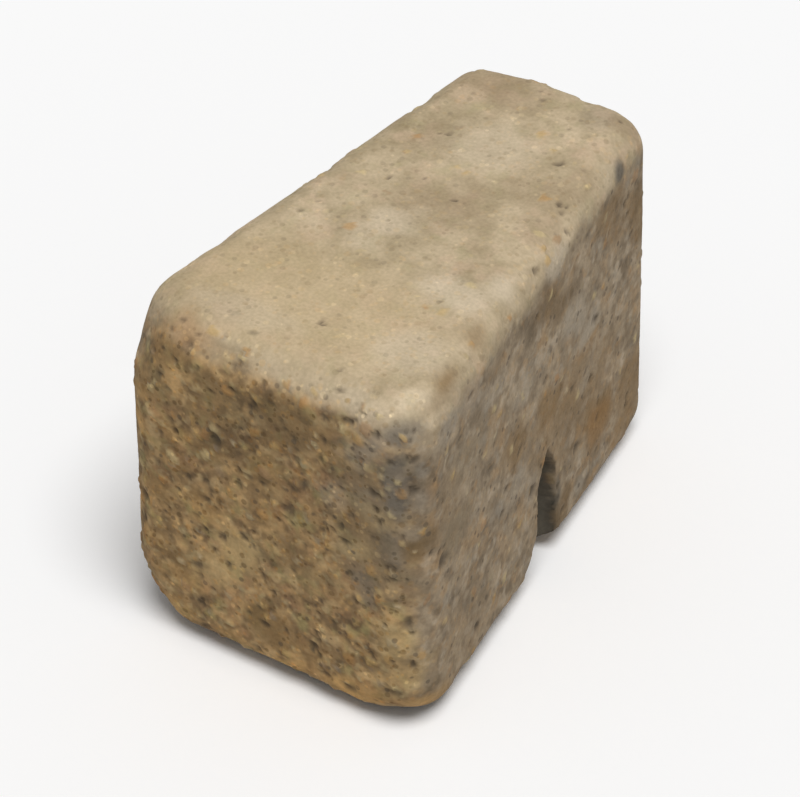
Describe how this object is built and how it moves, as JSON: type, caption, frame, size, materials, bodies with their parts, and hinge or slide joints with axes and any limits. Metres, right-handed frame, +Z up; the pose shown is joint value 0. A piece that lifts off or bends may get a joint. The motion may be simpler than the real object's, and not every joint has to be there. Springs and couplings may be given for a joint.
{
  "type": "retaining wall block",
  "caption": "Tapered concrete retaining wall block, tumbled to worn edges, with a rough front, a narrow tail and a notch at the foot of each side.",
  "frame": {"origin": "bottom centre of the block's bounding box, on the bed that it rests on", "axes": "+Z up, -Y out of the rough front face, +Y out of the narrow tail, +X to the right when looking at the tail from the front"},
  "size_m": [0.1305, 0.2, 0.15],
  "materials": {
    "concrete": "rough tumbled concrete, tan on top, browner and pitted on the front"
  },
  "bodies": {
    "root": {"block": "concrete"}
  },
  "joints": []
}
